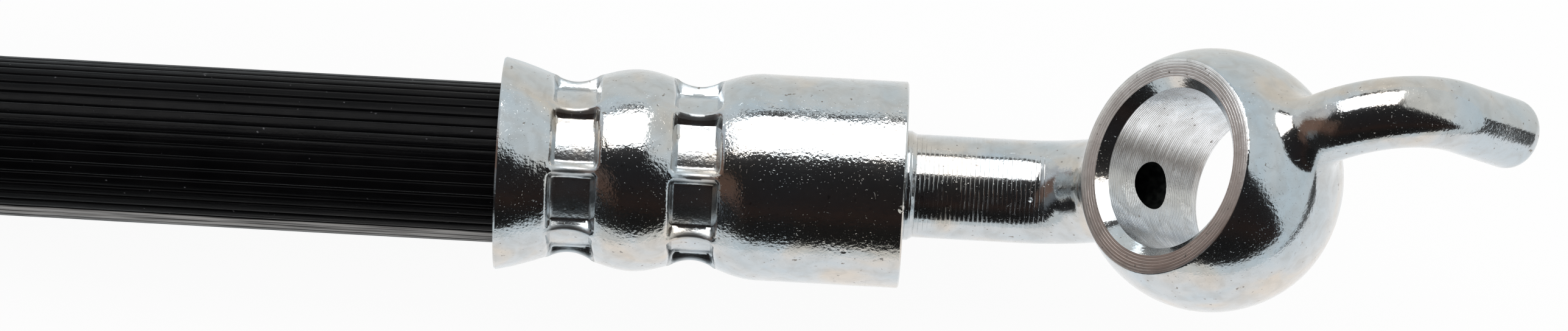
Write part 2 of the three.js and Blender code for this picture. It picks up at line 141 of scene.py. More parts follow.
def route_stations():
    """Evenly spaced points on one smooth curve through the route, which runs a little way into each mouth."""
    guide = bpy.data.curves.new("hose_route", "CURVE")
    guide.dimensions = "3D"
    guide.resolution_u = 24
    line = guide.splines.new("BEZIER")
    line.bezier_points.add(len(ROUTE) - 1)
    for knot, (along, across, height) in zip(line.bezier_points, ROUTE):
        knot.co = (mouth.x + along * MM, mouth.y + across * MM, height * MM)
        knot.handle_left_type = knot.handle_right_type = "AUTO"
    carrier = bpy.data.objects.new("hose_route", guide)
    points = np.array([vert.co for vert in carrier.to_mesh().vertices])
    carrier.to_mesh_clear()
    bpy.data.objects.remove(carrier)
    bpy.data.curves.remove(guide)
    first_in, last_in = ([place.x + HOSE_ENTRY * MM, place.y, place.z] for place in (mouth, far_mouth))
    points = np.vstack([first_in, points, last_in])
    steps = np.linalg.norm(np.diff(points, axis=0), axis=1)
    travelled = np.concatenate([[0.0], np.cumsum(steps)])
    wanted = np.linspace(0.0, travelled[-1], round(travelled[-1] / (RING_SPACING * MM)) + 1)
    return np.column_stack([np.interp(wanted, travelled, points[:, axis]) for axis in range(3)])


def linked(name, bm, materials):
    """Makes a bmesh a shown object at the origin, smooth but for edges sharper than a turned corner."""
    bmesh.ops.recalc_face_normals(bm, faces=bm.faces)
    mesh = bpy.data.meshes.new(name)
    bm.to_mesh(mesh)
    bm.free()
    for material in materials:
        mesh.materials.append(material)
    mesh.shade_smooth()
    mesh.set_sharp_from_angle(angle=SHARP_EDGE)
    made = bpy.data.objects.new(name, mesh)
    in_scene.link(made)
    return made


def extruded(bm, edges):
    """The new edges that a loop of edges grows into, still at the old place."""
    grown = bmesh.ops.extrude_edge_only(bm, edges=edges)["geom"]
    return [item for item in grown if isinstance(item, bmesh.types.BMEdge)]


def fill_ends(bm):
    """Closes each open loop with one face."""
    bmesh.ops.holes_fill(bm, edges=[edge for edge in bm.edges if edge.is_boundary])


def ribbed_tube(stations):
    """The grooved section, extruded ring by ring along the stations."""
    bm = bmesh.new()
    straightened = bm.verts.layers.float_vector.new("straightened")
    radius = HOSE_DIAMETER / 2 * MM
    section = bmesh.ops.create_circle(bm, segments=HOSE_RIBS * RIB_SIDES, radius=radius)["verts"]
    for index, vert in enumerate(section):
        place = index % RIB_SIDES
        if place == 0:
            vert.co *= 1.0 - GROOVE_DEPTH * MM / radius
        elif place in (1, RIB_SIDES - 1):
            vert.co *= 1.0 - GROOVE_EDGE_DROP * MM / radius
        vert[straightened] = vert.co
    ring = list(bm.edges)
    headings = np.gradient(stations, axis=0)
    placed = Matrix.Identity(4)
    for number, (point, heading) in enumerate(zip(stations, headings)):
        forward = Vector(heading).normalized()
        side = forward.cross(Vector((0.0, 0.0, 1.0))).normalized()
        above = side.cross(forward)
        size = SQUEEZED_SHARE if number in (0, len(stations) - 1) else 1.0
        columns = (side * size, above * size, forward)
        rows = [[*(column[row] for column in columns), point[row]] for row in range(3)]
        frame_here = Matrix([*rows, [0, 0, 0, 1]])
        if number:
            ring = extruded(bm, ring)
        verts = list({vert for edge in ring for vert in edge.verts})
        bmesh.ops.transform(bm, matrix=frame_here @ placed.inverted(), verts=verts)
        placed = frame_here
        for vert in verts:
            vert[straightened].z = number * RING_SPACING * MM
    fill_ends(bm)
    return bm


def shader_tree(name, constants):
    """A new node material, its shader with constants on its sockets, and its node tree."""
    material = bpy.data.materials.new(name)
    material.use_nodes = True
    tree = material.node_tree
    shader = tree.nodes["Principled BSDF"]
    for socket, value in constants.items():
        shader.inputs[socket].default_value = value
    return material, shader, tree


def on_piece(tree):
    """The place on the piece, in metres."""
    return tree.nodes.new("ShaderNodeTexCoord").outputs["Object"]


def pattern(tree, kind, scale, detail, source=None, distortion=0.0):
    """A texture node of one kind on Object coordinates or on source, whose scale is per metre."""
    node = tree.nodes.new("ShaderNodeTex" + kind)
    tree.links.new(source or on_piece(tree), node.inputs["Vector"])
    node.inputs["Scale"].default_value = scale
    node.inputs["Detail"].default_value = detail
    node.inputs["Distortion"].default_value = distortion
    return node


def noise(tree, scale, detail, source=None, distortion=0.0):
    """The value of a noise pattern."""
    return pattern(tree, "Noise", scale, detail, source, distortion).outputs["Fac"]


def ramp(tree, source, stops):
    """A colour ramp over source. Each stop is a position and a grey level or a colour."""
    node = tree.nodes.new("ShaderNodeValToRGB")
    tree.links.new(source, node.inputs["Fac"])
    elements = node.color_ramp.elements
    while len(elements) < len(stops):
        elements.new(0.5)
    for element, (position, colour) in zip(elements, stops):
        element.position = position
        grey = (colour,) * 3 if isinstance(colour, (int, float)) else colour
        element.color = (*grey, 1.0)
    return node.outputs["Color"]


def blended(tree, share, first, second):
    """First where share is 0 and second where it is 1. Each is a socket or a colour."""
    node = tree.nodes.new("ShaderNodeMix")
    node.data_type = "RGBA"
    tree.links.new(share, node.inputs["Factor"])
    for socket, value in ((node.inputs["A"], first), (node.inputs["B"], second)):
        if isinstance(value, bpy.types.NodeSocket):
            tree.links.new(value, socket)
        else:
            socket.default_value = (*value, 1.0)
    return node.outputs["Result"]


def raised(tree, height, depth, below=None, strength=None):
    """A bump of that depth in metres from a height socket, over the bump below it."""
    node = tree.nodes.new("ShaderNodeBump")
    node.inputs["Strength"].default_value = 1.0
    node.inputs["Distance"].default_value = depth
    tree.links.new(height, node.inputs["Height"])
    if below is not None:
        tree.links.new(below, node.inputs["Normal"])
    if strength is not None:
        tree.links.new(strength, node.inputs["Strength"])
    return node.outputs["Normal"]


def worked(tree, operation, *values):
    """A Math node's value. Each of values is a socket or a number."""
    node = tree.nodes.new("ShaderNodeMath")
    node.operation = operation
    for socket, value in zip(node.inputs, values):
        if isinstance(value, bpy.types.NodeSocket):
            tree.links.new(value, socket)
        else:
            socket.default_value = value
    return node.outputs["Value"]


def dotted(tree, source, heading):
    """How far a vector socket reaches along a heading."""
    node = tree.nodes.new("ShaderNodeVectorMath")
    node.operation = "DOT_PRODUCT"
    tree.links.new(source, node.inputs[0])
    node.inputs[1].default_value = heading
    return node.outputs["Value"]


def hose_rubber():
    """Dull black rubber with a faint bloom, rough grooves, dust and one line of painted sheen along the top.
    """
    material, shader, tree = shader_tree("hose_rubber", {"Specular IOR Level": RUBBER_GLOSS})
    lengthwise = tree.nodes.new("ShaderNodeAttribute")
    lengthwise.attribute_name = "straightened"
    drawn_out = tree.nodes.new("ShaderNodeMapping")
    drawn_out.inputs["Scale"].default_value = (1.0, 1.0, STREAK_STRETCH)
    tree.links.new(lengthwise.outputs["Vector"], drawn_out.inputs["Vector"])
    crosswise = tree.nodes.new("ShaderNodeMapping")
    across = 2 / (HOSE_DIAMETER * MM)
    crosswise.inputs["Scale"].default_value = (across, across, 0.0)
    tree.links.new(lengthwise.outputs["Vector"], crosswise.inputs["Vector"])
    # Painted sheen: the line's mask, a narrow strip round the hose that fades out along it from the first
    # ferrule.
    around = dotted(tree, crosswise.outputs["Vector"], (-math.sin(SHEEN_LINE_TURN), math.cos(SHEEN_LINE_TURN), 0.0))
    share_gone = dotted(tree, lengthwise.outputs["Vector"], (0.0, 0.0, 1.0 / (SHEEN_LINE_LENGTH * MM)))
    near_end = ramp(tree, worked(tree, "SUBTRACT", 1.0, share_gone), SHEEN_LINE_FADE)
    painted_sheen_line = worked(tree, "MULTIPLY", ramp(tree, around, SHEEN_LINE_SIDES), near_end)
    # This noise breaks the painted sheen into dashes along the hose.
    sheen_dashes = noise(tree, 5200.0, 2.0, drawn_out.outputs["Vector"])
    sheen_share = blended(tree, painted_sheen_line, (0.0, 0.0, 0.0), ramp(tree, sheen_dashes, [(0.40, 0.25), (0.58, 1.0)]))
    bloom = noise(tree, 260.0, 4.0)
    cover = blended(tree, sheen_share, ramp(tree, bloom, RUBBER_BLACK), PAINTED_SHEEN_GREY)
    dust = noise(tree, 2600.0, 1.0)
    specks = ramp(tree, dust, [(0.77, 0.0), (0.82, 1.0)])
    tree.links.new(blended(tree, specks, cover, DUST_GREY), shader.inputs["Base Color"])
    rough = noise(tree, 900.0, 3.0)
    from_middle = tree.nodes.new("ShaderNodeVectorMath")
    from_middle.operation = "LENGTH"
    tree.links.new(crosswise.outputs["Vector"], from_middle.inputs[0])
    in_groove = ramp(tree, from_middle.outputs["Value"], GROOVE_WALL)
    rubbed = ramp(tree, rough, RUBBER_ROUGHNESS)
    tree.links.new(blended(tree, in_groove, rubbed, (1.0, 1.0, 1.0)), shader.inputs["Roughness"])
    grain = noise(tree, 6000.0, 2.0)
    streaks = noise(tree, 3800.0, 3.0, drawn_out.outputs["Vector"])
    normal = raised(tree, streaks, RUBBER_STREAKS, raised(tree, grain, RUBBER_GRAIN))
    tree.links.new(normal, shader.inputs["Normal"])
    return material


stations = route_stations()
hose = linked("ribbed_hose", ribbed_tube(stations), [hose_rubber()])
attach(hose, "root")
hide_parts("hose")
hose.visible_glossy = False  # the photographed metal mirrors nothing of the hose's return run

# Ferrules. Each is a thin steel shell, drawn, zinc plated and squeezed on to the hose by eight jaws in two
# bands, which leaves eight pockets with ridges between them in each band and a bulge between the bands.
FERRULE_LENGTH = 26.6
FERRULE_WALL = 1.1
BULGE_RADIUS = HOSE_DIAMETER / 2 + 0.3 + FERRULE_WALL
PLAIN_RADIUS = BULGE_RADIUS + 0.15
WAIST_RADIUS = BULGE_RADIUS - 0.5
FLARE_LENGTH = 3.45
FLARE_LINE = [(0.0, 7.02), (0.5, 6.91), (1.2, 6.74), (2.2, 6.42), (FLARE_LENGTH, 5.98)]
LIP_SLOPE = 0.2
LIP_THICKNESS = 0.55
LIP_EDGE = 0.12
CORNER_EASE = 0.13
EASE_REACH = 20  # profile points on each side that a corner is eased over
BAND_CENTRES = (4.95, 12.9)
BAND_WIDTH = 3.0
BAND_WALL = 0.25  # length of a pocket's steep side
BAND_LIP = 0.22  # where the shell rolls over before that side
BAND_WANDER = 0.045  # how far the bands' edges wander along the shell
SHOULDER_LENGTH = 2.8
POCKET_RADIUS = BULGE_RADIUS - 1.45
POCKET_WALL = 0.5
FLOOR_SAG = 0.05
RIDGE_SAG = 0.45
JAW_PITCH = 45.0  # this and the three ridge sizes are in degrees
RIDGE_CREST = 2.0
RIDGE_FOOT = 12.5
FIRST_RIDGE = -2.2
END_EDGE = 0.22
END_WALL = 1.5
NECK_RADIUS = 3.4
NECK_GAP = 0.06
FERRULE_SIDES = 320
ROW_SPACING = 0.14
SHELL, FLOOR, RIDGE = range(3)  # places in the ferrule's list of finishes


def eased(value, start, end):
    """0 at start, 1 at end and a smooth step between."""
    share = np.clip((value - start) / (end - start), 0.0, 1.0)
    return share * share * (3.0 - 2.0 * share)


def drawn_profile():
    """The shell's outside before it is squeezed, as places along it and radii, with its corners eased."""
    along = np.linspace(-1.0, FERRULE_LENGTH + 1.0, 1200)
    bulge_start = BAND_CENTRES[0] + BAND_WIDTH / 2
    bulge_end = BAND_CENTRES[1] - BAND_WIDTH / 2
    flare = np.interp(along, *zip(*FLARE_LINE, (bulge_start, WAIST_RADIUS)))
    flare = flare - LIP_SLOPE * np.minimum(along, 0.0)
    bulge_share = np.clip((along - bulge_start) / (bulge_end - bulge_start), 0.0, 1.0)
    bulge = (BULGE_RADIUS - WAIST_RADIUS) * np.sin(bulge_share * np.pi)
    shoulder_share = np.clip((along - BAND_CENTRES[1] - BAND_WIDTH / 2) / SHOULDER_LENGTH, 0.0, 1.0)
    shoulder = (PLAIN_RADIUS - WAIST_RADIUS) * np.sin(shoulder_share * np.pi / 2)
    steps = np.arange(-EASE_REACH, EASE_REACH + 1)
    spread = np.exp(-0.5 * (steps * (along[1] - along[0]) / CORNER_EASE) ** 2)
    padded = np.pad(flare + bulge + shoulder, EASE_REACH, mode="edge")
    return along, np.convolve(padded, spread / spread.sum(), mode="valid")


shell_places, shell_radii = drawn_profile()


def squeezed_radius(along, turn):
    """The outside radius after the jaws, at a turn in degrees from straight up, and the share of ridge."""
    plain = np.interp(along, shell_places, shell_radii)
    from_ridge = np.abs((turn - FIRST_RIDGE + JAW_PITCH / 2) % JAW_PITCH - JAW_PITCH / 2)
    on_floor = eased(from_ridge, RIDGE_CREST / 2, RIDGE_FOOT / 2)
    wander = BAND_WANDER * (np.sin(np.radians(turn * 3.0 + 40.0)) + 0.6 * np.sin(np.radians(turn * 8.0)))
    radius = plain
    pressed = np.zeros(len(along))
    for centre in BAND_CENTRES:
        off = np.abs(along - centre - wander)
        share = np.clip(off / (BAND_WIDTH / 2), 0.0, 1.0)
        ridge = plain - RIDGE_SAG * (1.0 - share * share)
        pocket = POCKET_RADIUS - FLOOR_SAG * (1.0 - share * share)
        inside = eased(off, BAND_WIDTH / 2 + BAND_LIP, BAND_WIDTH / 2 - BAND_WALL) ** 1.7
        radius = radius + (ridge + (pocket - ridge) * on_floor - radius) * inside
        pressed = np.maximum(pressed, inside)
    return radius, pressed, pressed * (1.0 - on_floor)


def spun(outline, sides, closed=False):
    """A turned solid about +X from its outline of (along, radius), closed on itself or on the axis."""
    bm = bmesh.new()
    verts = [bm.verts.new((along, 0.0, radius)) for along, radius in outline]
    pairs = list(zip(verts, [*verts[1:], verts[0]]))
    edges = [bm.edges.new(pair) for pair in (pairs if closed else pairs[:-1])]
    bmesh.ops.spin(
        bm, geom=[*verts, *edges], cent=(0, 0, 0), axis=(1, 0, 0),
        angle=2 * math.pi, steps=sides, use_merge=True,
    )
    bmesh.ops.remove_doubles(bm, verts=bm.verts, dist=0.001)
    bmesh.ops.recalc_face_normals(bm, faces=bm.faces)
    return bm


def ferrule_shell():
    """The shell's closed outline spun round +X, then pressed in by the jaws."""
    rows = np.arange(LIP_EDGE, FERRULE_LENGTH - END_EDGE, ROW_SPACING)
    row_radii = np.interp(rows, shell_places, shell_radii)
    outside = [(0.0, FLARE_LINE[0][1] - 0.1), *zip(rows.tolist(), row_radii.tolist())]
    corner = [
        (FERRULE_LENGTH - END_EDGE, PLAIN_RADIUS),
        (FERRULE_LENGTH - END_EDGE * 0.55, PLAIN_RADIUS - END_EDGE * 0.08),
        (FERRULE_LENGTH - END_EDGE * 0.2, PLAIN_RADIUS - END_EDGE * 0.3),
        (FERRULE_LENGTH, PLAIN_RADIUS - END_EDGE * 0.9),
        (FERRULE_LENGTH, NECK_RADIUS + 1.2),
        (FERRULE_LENGTH, NECK_RADIUS + NECK_GAP),
    ]
    inner_waist = WAIST_RADIUS - FERRULE_WALL
    inside = [
        (FERRULE_LENGTH - END_WALL, NECK_RADIUS + NECK_GAP),
        (FERRULE_LENGTH - END_WALL, PLAIN_RADIUS - FERRULE_WALL),
        (BAND_CENTRES[1] + BAND_WIDTH, PLAIN_RADIUS - FERRULE_WALL),
        (BAND_CENTRES[1], POCKET_RADIUS - POCKET_WALL),
        (BAND_CENTRES[0], POCKET_RADIUS - POCKET_WALL),
        (FLARE_LENGTH, inner_waist),
        (FLARE_LENGTH * 0.5, inner_waist + 0.55),
        (LIP_EDGE, FLARE_LINE[0][1] - LIP_THICKNESS),
        (0.0, FLARE_LINE[0][1] - LIP_THICKNESS + LIP_EDGE),
    ]
    bm = spun([*outside, *corner, *inside], FERRULE_SIDES, closed=True)
    places = np.array([vert.co for vert in bm.verts])
    radii = np.hypot(places[:, 1], places[:, 2])
    turns = np.degrees(np.arctan2(places[:, 1], places[:, 2]))
    pressed_radii, pressed, ridged = squeezed_radius(places[:, 0], turns)
    skin = np.abs(radii - np.interp(places[:, 0], shell_places, shell_radii)) < 0.02
    shares = np.where(skin, pressed_radii / radii, 1.0)
    for vert, share in zip(bm.verts, shares.tolist()):
        vert.co.y *= share
        vert.co.z *= share
    bm.verts.index_update()
    kinds = np.where(skin & (ridged > 0.4), RIDGE, np.where(skin & (pressed > 0.6), FLOOR, SHELL))
    for face in bm.faces:
        face.material_index = int(min(kinds[vert.index] for vert in face.verts))
    return bm


def settled(bm, place):
    """The bmesh scaled from millimetres to metres and moved to a place."""
    bmesh.ops.scale(bm, vec=(MM, MM, MM), verts=bm.verts)
    bmesh.ops.translate(bm, vec=place, verts=bm.verts)
    return bm


CLEAN_PLATE = [(0.36, (0.54, 0.60, 0.64)), (0.52, (0.61, 0.63, 0.64)), (0.66, (0.68, 0.62, 0.55))]
PLATE_FILM = (0.40, 0.38, 0.35)
PLATE_PITS = (0.26, 0.24, 0.22)
SEAL_WEIGHT = 0.7  # of the clear film that seals the plate
SEAL_ROUGHNESS = 0.32
PLATE_HAZE = 0.06  # how much rougher the plate is where it is hazy
NICKS = [  # places and sizes in metres, two on the ferrule and one on the neck
    ((-0.0106, -0.0059, 0.0121), 0.0003),
    ((-0.00695, -0.0030, 0.0136), 0.00035),
    ((0.00143, -0.00191, 0.01045), 0.00022),
]


def nicked(tree, below, place, size):
    """A knock of that size at a place, pressed in over the bump below it."""
    apart = tree.nodes.new("ShaderNodeVectorMath")
    apart.operation = "DISTANCE"
    tree.links.new(on_piece(tree), apart.inputs[0])
    apart.inputs[1].default_value = place
    share = worked(tree, "DIVIDE", apart.outputs["Value"], size)
    return raised(tree, ramp(tree, share, [(0.25, 0.0), (0.8, 1.0)]), size * 0.3, below)


def zinc_finish(name, roughness, pebble_depth, lines=None, shades=CLEAN_PLATE, level=None, nicks=()):
    """Bright zinc plate: blue-grey with pale tan clouds, pebbled by the steel, with specks and dents.

    Lines makes tool marks, level makes the value that shades run over, and nicks are knocks. Shades are the
    plate's own colours, or painted reflections where level lays them out across a bored wall or a face.
    """
    constants = {"Metallic": 1.0, "Coat Weight": SEAL_WEIGHT, "Coat Roughness": SEAL_ROUGHNESS}
    material, shader, tree = shader_tree(name, constants)
    clouds = noise(tree, 190.0, 3.0, distortion=0.8)
    # Where level is given, the shades are a painted reflection that follows the place and not the plate's
    # clouds.
    plate = ramp(tree, clouds if level is None else level(tree), shades)
    smears = noise(tree, 1000.0, 4.0, distortion=0.6)
    plate = blended(tree, ramp(tree, smears, [(0.42, 0.0), (0.68, 0.35)]), plate, PLATE_FILM)
    pits = ramp(tree, noise(tree, 2600.0, 2.0), [(0.69, 0.0), (0.74, 1.0)])
    tree.links.new(blended(tree, pits, plate, PLATE_PITS), shader.inputs["Base Color"])
    haze = noise(tree, 420.0, 4.0)
    hazy = ramp(tree, haze, [(0.3, roughness), (0.75, roughness + PLATE_HAZE)])
    tree.links.new(hazy, shader.inputs["Roughness"])
    patches = noise(tree, 330.0, 2.0)
    pebbles = noise(tree, 4600.0, 2.0)
    strength = ramp(tree, patches, [(0.38, 0.35), (0.6, 1.0)])
    normal = raised(tree, pebbles, pebble_depth, strength=strength)
    specks = ramp(tree, noise(tree, 9000.0, 1.0), [(0.70, 0.0), (0.78, 1.0)])
    normal = raised(tree, specks, 0.000006, normal)
    dents = noise(tree, 1500.0, 1.0, distortion=2.5)
    normal = raised(tree, ramp(tree, dents, [(0.22, 0.0), (0.27, 1.0)]), 0.000009, normal)
    if lines is not None:
        normal = lines(tree, normal)
    for place, size in nicks:
        normal = nicked(tree, normal, place, size)
    tree.links.new(normal, shader.inputs["Normal"])
    return material


ferrule_finishes = [
    zinc_finish("ferrule_zinc", roughness=0.07, pebble_depth=0.000027, nicks=NICKS[:2]),
    zinc_finish("pressed_zinc", roughness=0.2, pebble_depth=0.000024),
    zinc_finish("ridge_zinc", roughness=0.34, pebble_depth=0.00002),
]
ferrules = [
    ("squeezed_ferrule", "crimp_ferrule", mouth),
    ("far_squeezed_ferrule", "far_ferrule", far_mouth),
]
shell = ferrule_shell()
for name, node, place in ferrules:
    ferrule = linked(name, settled(shell.copy(), place), ferrule_finishes)
    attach(ferrule, "root")
    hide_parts(node)
ferrule.visible_glossy = False  # the far one, which the photographed metal doesn't mirror either
shell.free()

# Banjo fitting. One steel forging: a turned stem bent up at 45 degrees, a ball-shaped eye with two machined
# sealing faces and a bored hole, and a curved locating tail. It is zinc plated after machining.
NECK_STRAIGHT = 7.4
STEM_BEND_RADIUS = 7.0
STEM_BEND = math.radians(45.0)
STEM_ROLL = math.radians(8.7)
STEM_REACH = 10.27
EYE_TWIST = math.radians(3.0)
EYE_RADIUS = 8.5
EYE_HALF_WIDTH = 4.7
BORE_RADIUS = 5.25
BORE_CHAMFER = 0.6
FAR_CHAMFER = 0.15
FACE_PROUD = 0.05
CROSS_HOLE_RADIUS = 1.55
CROSS_HOLE_DEPTH = 9.0
COLLAR_HEIGHT = 0.2
COLLAR_WIDTH = 0.5
TAIL_RADIUS = 2.275
TAIL_TURN = math.radians(17.0)
TAIL_STRAIGHT = 8.5
TAIL_BEND_RADIUS = 6.7
TAIL_LEG = 5.9
PAST_TIP = 3.0  # how far the tail's round runs on before its end is cut flat
TAIL_EDGE = 0.96
STEM_FILLET = 1.3
TAIL_FILLET = 1.5
WALL_MIDDLE = (BORE_RADIUS + EYE_RADIUS) / 2
STEM_BURIED = 1.2  # length of the stem inside the ferrule
TURNED_SIDES = 96
TURNED_PAST_BEND = 3.0  # how far the neck's turned finish runs on from where the bend starts
SKIN_SPACING = 0.17
SLOPE_STEP = 0.01
NECK_MARK_PITCH = 0.0003  # this and the other tool marks' sizes are in metres
NECK_MARK_DEPTH = 0.000016
BORE_MARK_PITCH = 0.00017
BORE_MARK_DEPTH = 0.00003
FACE_MARK_PITCH = 0.0002
FACE_MARK_DEPTH = 0.000014
WAVE_LENGTH = 0.31416  # of the wave texture at scale 1, in metres
# Painted reflection: the sealing face runs from dark warm brown on the side towards -Y to pale grey on the
# side towards +Y, laid out by place across the eye.
FACE_PAINTED_REFLECTION = [(0.15, (0.60, 0.50, 0.45)), (0.55, (0.78, 0.74, 0.71)), (0.9, (0.90, 0.90, 0.89))]
# Painted reflections: light and dark bands across the bore's wall, by place across the eye, which stand in
# for the room mirrored in the round wall.
BORE_PAINTED_REFLECTIONS = [
    (0.03, (0.72, 0.75, 0.78)),
    (0.14, (0.26, 0.30, 0.34)),
    (0.25, (0.58, 0.62, 0.66)),
    (0.42, (0.62, 0.62, 0.60)),
    (0.56, (0.50, 0.49, 0.48)),
    (0.63, (0.30, 0.27, 0.25)),
    (0.68, (0.50, 0.48, 0.46)),
    (0.76, (0.97, 0.97, 0.98)),
    (0.88, (0.95, 0.96, 0.98)),
    (0.97, (0.80, 0.87, 0.93)),
]
# Painted shade: the cross hole's wall is painted near black, as the deep hole looks in shade.
HOLE_PAINTED_SHADE = [(0.4, (0.004, 0.005, 0.005)), (0.7, (0.02, 0.022, 0.02))]
PLATED, TURNED, BORED, FACED, DRILLED = range(5)  # places in the fitting's list of finishes

ahead = Vector((1.0, 0.0, 0.0))
lean = Vector((0.0, math.sin(STEM_ROLL), math.cos(STEM_ROLL)))
out = ahead * math.cos(STEM_BEND) + lean * math.sin(STEM_BEND)
bore = Matrix.Rotation(-EYE_TWIST, 3, out) @ (lean * math.cos(STEM_BEND) - ahead * math.sin(STEM_BEND))
bore_top = (Vector((0.0, 1.0, 0.0)) - bore * bore.y).normalized()


def bent_line(start, heading, towards, first, radius, bend, last):
    """Points on a line that runs straight, round one bend in small steps and straight again."""
    turns = np.linspace(0.0, bend, 40)
    points = [start, *(start + heading * (first + radius * math.sin(turn))
                       + towards * (radius * (1.0 - math.cos(turn))) for turn in turns)]
    points.append(points[-1] + (heading * math.cos(bend) + towards * math.sin(bend)) * last)
    return points


stem_start = mouth / MM + ahead * (FERRULE_LENGTH - STEM_BURIED)
stem_way = (stem_start, ahead, lean, NECK_STRAIGHT + STEM_BURIED, STEM_BEND_RADIUS, STEM_BEND)
eye = bent_line(*stem_way, STEM_REACH)[-1]
stem_way = (*stem_way, STEM_REACH - WALL_MIDDLE)
tail_out = Matrix.Rotation(TAIL_TURN, 3, bore) @ out
tail_root = eye + tail_out * WALL_MIDDLE
tail_way = (tail_root, tail_out, -bore, TAIL_STRAIGHT - WALL_MIDDLE, TAIL_BEND_RADIUS, math.pi / 2, TAIL_LEG)
tail_end = bent_line(*tail_way)[-1]


def distance_to(points, start, heading, towards, first, radius, bend, last):
    """Distance from each point to a line that runs straight, round one bend and straight again."""
    centre = start + heading * first + towards * radius
    from_centre = points - np.array(centre)
    turn = np.clip(np.arctan2(from_centre @ heading, from_centre @ -towards), 0.0, bend)
    on_bend = radius * (np.outer(np.sin(turn), heading) - np.outer(np.cos(turn), towards))
    nearest = np.linalg.norm(from_centre - on_bend, axis=1)
    leaving = heading * math.cos(bend) + towards * math.sin(bend)
    bend_end = centre + (heading * math.sin(bend) - towards * math.cos(bend)) * radius
    for foot, way, length in ((start, heading, first), (bend_end, leaving, last)):
        offset = points - np.array(foot)
        along = np.clip(offset @ way, 0.0, length)
        nearest = np.minimum(nearest, np.linalg.norm(offset - np.outer(along, way), axis=1))
    return nearest


def filleted(first, second, size):
    """The lesser of two distances, with a fillet of that size where they meet."""
    overlap = np.clip(0.5 + 0.5 * (second - first) / size, 0.0, 1.0)
    return second + (first - second) * overlap - size * overlap * (1.0 - overlap)


def skin_depth(points):
    """Height over the forging's skin at each point: ball, stem and tail with fillets, and flat ends."""
    ball = np.linalg.norm(points - np.array(eye), axis=1) - EYE_RADIUS
    stem = distance_to(points, *stem_way) - NECK_RADIUS
    tail = distance_to(points, *tail_way[:-1], TAIL_LEG + PAST_TIP) - TAIL_RADIUS
    past_tip = (points - np.array(tail_end)) @ -bore
    tail = -filleted(-tail, -past_tip, TAIL_EDGE)
    whole = filleted(filleted(ball, stem, STEM_FILLET), tail, TAIL_FILLET)
    return np.maximum(whole, stem_start.x - points[:, 0])


def drawn_to_skin(points):
    """The points moved on to the forging's skin in four steps down its slope."""
    for _ in range(4):
        depth = skin_depth(points)
        rises = [skin_depth(points + step) - depth for step in np.eye(3) * SLOPE_STEP]
        slope = np.stack(rises, axis=1) / SLOPE_STEP
        points = points - slope * (depth / np.maximum((slope * slope).sum(axis=1), 0.2))[:, None]
    return points


def rough_forging():
    """Ball, stem and tail as overlapping solids, which the remesh makes one."""
    bm = bmesh.new()
    bmesh.ops.create_icosphere(bm, subdivisions=4, radius=EYE_RADIUS, matrix=Matrix.Translation(eye))
    for way, radius in ((stem_way, NECK_RADIUS), (tail_way, TAIL_RADIUS)):
        line = bent_line(*way)
        heading = (line[1] - line[0]).normalized()
        turned = heading.to_track_quat("Z", "Y").to_matrix().to_4x4()
        ring = bmesh.ops.create_circle(bm, segments=32, radius=radius, cap_ends=True)
        bmesh.ops.transform(bm, matrix=Matrix.Translation(line[0]) @ turned, verts=ring["verts"])
        edges = list({edge for vert in ring["verts"] for edge in vert.link_edges})
        for place, (before, here) in enumerate(zip(line, line[1:])):
            after = line[min(place + 2, len(line) - 1)]
            next_heading = (after - before).normalized()
            edges = extruded(bm, edges)
            verts = list({vert for edge in edges for vert in edge.verts})
            swing = heading.rotation_difference(next_heading).to_matrix().to_4x4()
            move = Matrix.Translation(here) @ swing @ Matrix.Translation(-before)
            bmesh.ops.transform(bm, matrix=move, verts=verts)
            heading = next_heading
        fill_ends(bm)
    bmesh.ops.recalc_face_normals(bm, faces=bm.faces)
    return bm


def applied(bm, kind, **settings):
    """The bmesh after one modifier."""
    mesh = bpy.data.meshes.new("in_work")
    bm.to_mesh(mesh)
    bm.free()
    carrier = bpy.data.objects.new("in_work", mesh)
    in_scene.link(carrier)
    modifier = carrier.modifiers.new("in_work", kind)
    for setting, value in settings.items():
        setattr(modifier, setting, value)
    shown = carrier.evaluated_get(bpy.context.evaluated_depsgraph_get())
    made = bmesh.new()
    made.from_mesh(shown.to_mesh())
    shown.to_mesh_clear()
    bpy.data.objects.remove(carrier)
    bpy.data.meshes.remove(mesh)
    return made


def machined_face(bm, side, chamfer):
    """Cuts the ball flat on one side, faces it and chamfers the bore's rim. Returns the bore's last loop."""
    rim_radius = math.sqrt(EYE_RADIUS ** 2 - EYE_HALF_WIDTH ** 2)
    face_level = EYE_HALF_WIDTH + FACE_PROUD
    profile = [
        (EYE_HALF_WIDTH, rim_radius),
        (face_level, rim_radius - 0.07),
        (face_level, BORE_RADIUS + chamfer + 0.6),
        (face_level, BORE_RADIUS + chamfer),
        *((float(level), BORE_RADIUS) for level in np.linspace(EYE_HALF_WIDTH - chamfer, 0.4, 8)),
    ]
    near = []
    for face in bm.faces:
        offset = face.calc_center_median() - eye
        along = offset.dot(bore) * side
        if along > EYE_HALF_WIDTH - 1.0 and (offset - bore * along * side).length < rim_radius + 1.0:
            near.append(face)
    geometry = list({item for face in near for item in (face, *face.edges, *face.verts)})
    bmesh.ops.bisect_plane(
        bm, geom=geometry, dist=0.0001, plane_co=eye + bore * side * EYE_HALF_WIDTH,
        plane_no=bore * side, clear_outer=True,
    )
    ring = [edge for edge in bm.edges if edge.is_boundary
            and abs((edge.verts[0].co - eye).dot(bore) * side - EYE_HALF_WIDTH) < 0.01]
    for place, (along, radius) in enumerate(profile):
        if place:
            ring = extruded(bm, ring)
        for vert in {vert for edge in ring for vert in edge.verts}:
            offset = vert.co - eye
            spoke = (offset - bore * offset.dot(bore)).normalized()
            vert.co = eye + bore * (side * along) + spoke * radius
    return ring


